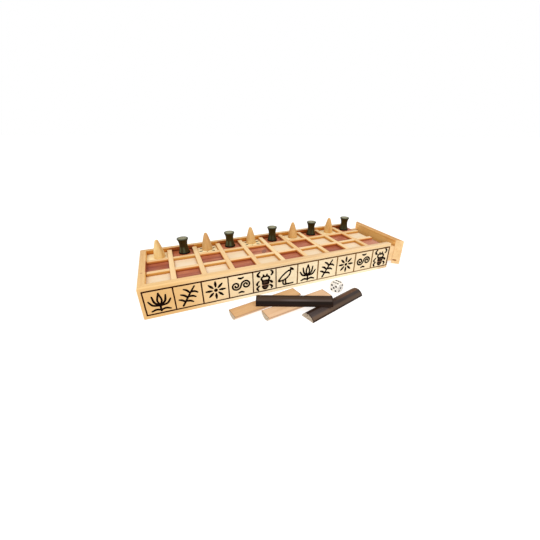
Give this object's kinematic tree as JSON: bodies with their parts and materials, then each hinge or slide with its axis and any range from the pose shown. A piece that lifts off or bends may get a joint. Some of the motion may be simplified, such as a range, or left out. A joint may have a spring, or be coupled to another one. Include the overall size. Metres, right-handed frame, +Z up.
{
  "type": "senet game box",
  "caption": "Long mitred wooden game box with a raised checkered board on top, an end drawer, cone and spool playing pieces, half-round throwing sticks and a die.",
  "frame": {"origin": "middle of the closed box's underside, on the table", "axes": "+X along the box to the end the drawer pulls out of, +Y from the ornamented long side to the plain one, +Z up"},
  "size_m": [0.405, 0.2103, 0.0642],
  "materials": {
    "box_wood": "sanded, clear satin varnish",
    "panel_wood": "bare thin plywood",
    "tile_pale": "sanded, clear satin varnish",
    "tile_stained": "red-brown stain, satin",
    "divider_wood": "sanded, clear satin varnish",
    "dowel_wood": "bare",
    "cone_wood": "turned, clear satin varnish",
    "spool_stained": "turned, dark green-black stain, satin",
    "stick_pale": "sanded, bare",
    "stick_dark": "dark brown stain on the round side, bare ends",
    "die_body": "polished",
    "die_pips": "paint"
  },
  "bodies": {
    "carcass": {"wall_left": "box_wood", "wall_front": "box_wood", "wall_back": "box_wood", "bottom_panel": "panel_wood", "runner_front": "panel_wood", "runner_back": "panel_wood", "deck_panel": "panel_wood", "tiles_light": "tile_pale", "tiles_red": "tile_stained", "long_divider_front": "divider_wood", "long_divider_back": "divider_wood", "cross_divider_1": "divider_wood", "cross_divider_2": "divider_wood", "cross_divider_3": "divider_wood", "cross_divider_4": "divider_wood", "cross_divider_5": "divider_wood", "cross_divider_6": "divider_wood", "cross_divider_7": "divider_wood", "cross_divider_8": "divider_wood", "cross_divider_9": "divider_wood"},
    "drawer": {"drawer_plate": "box_wood", "drawer_side_front": "box_wood", "drawer_side_back": "box_wood", "drawer_rear": "box_wood", "drawer_bottom": "panel_wood", "drawer_dowels": "dowel_wood"},
    "cone_1": {"cone_1": "cone_wood"},
    "spool_1": {"spool_1": "spool_stained"},
    "cone_2": {"cone_2": "cone_wood"},
    "spool_2": {"spool_2": "spool_stained"},
    "cone_3": {"cone_3": "cone_wood"},
    "spool_3": {"spool_3": "spool_stained"},
    "cone_4": {"cone_4": "cone_wood"},
    "spool_4": {"spool_4": "spool_stained"},
    "cone_5": {"cone_5": "cone_wood"},
    "spool_5": {"spool_5": "spool_stained"},
    "die": {"die": "die_body", "die_pips": "die_pips"},
    "stick_dark_top": {"stick_dark_top": "stick_dark"},
    "stick_light_left": {"stick_light_left": "stick_pale"},
    "stick_light_right": {"stick_light_right": "stick_pale"},
    "stick_dark_right": {"stick_dark_right": "stick_dark"}
  },
  "joints": [
    {"name": "drawer_slide", "type": "slide", "parent": "carcass", "child": "drawer", "axis": [1, 0, 0], "range_m": [-0.0224, 0.2675]},
    {"name": "cone_1_lift", "type": "slide", "parent": "carcass", "child": "cone_1", "axis": [0, 0, 1], "range_m": [0, 0.06]},
    {"name": "spool_1_lift", "type": "slide", "parent": "carcass", "child": "spool_1", "axis": [0, 0, 1], "range_m": [0, 0.06]},
    {"name": "cone_2_lift", "type": "slide", "parent": "carcass", "child": "cone_2", "axis": [0, 0, 1], "range_m": [0, 0.06]},
    {"name": "spool_2_lift", "type": "slide", "parent": "carcass", "child": "spool_2", "axis": [0, 0, 1], "range_m": [0, 0.06]},
    {"name": "cone_3_lift", "type": "slide", "parent": "carcass", "child": "cone_3", "axis": [0, 0, 1], "range_m": [0, 0.06]},
    {"name": "spool_3_lift", "type": "slide", "parent": "carcass", "child": "spool_3", "axis": [0, 0, 1], "range_m": [0, 0.06]},
    {"name": "cone_4_lift", "type": "slide", "parent": "carcass", "child": "cone_4", "axis": [0, 0, 1], "range_m": [0, 0.06]},
    {"name": "spool_4_lift", "type": "slide", "parent": "carcass", "child": "spool_4", "axis": [0, 0, 1], "range_m": [0, 0.06]},
    {"name": "cone_5_lift", "type": "slide", "parent": "carcass", "child": "cone_5", "axis": [0, 0, 1], "range_m": [0, 0.06]},
    {"name": "spool_5_lift", "type": "slide", "parent": "carcass", "child": "spool_5", "axis": [0, 0, 1], "range_m": [0, 0.06]},
    {"name": "die_lift", "type": "slide", "parent": "carcass", "child": "die", "axis": [0, 0, 1], "range_m": [0, 0.06]},
    {"name": "stick_dark_top_lift", "type": "slide", "parent": "carcass", "child": "stick_dark_top", "axis": [0, 0, 1], "range_m": [0, 0.06]},
    {"name": "stick_light_left_slide", "type": "slide", "parent": "carcass", "child": "stick_light_left", "axis": [-0.9854, -0.1702, 0], "range_m": [0, 0.07]},
    {"name": "stick_light_right_slide", "type": "slide", "parent": "carcass", "child": "stick_light_right", "axis": [-0.988, -0.1547, 0], "range_m": [0, 0.07]},
    {"name": "stick_dark_right_slide", "type": "slide", "parent": "carcass", "child": "stick_dark_right", "axis": [0.9617, 0.274, 0], "range_m": [0, 0.07]}
  ]
}
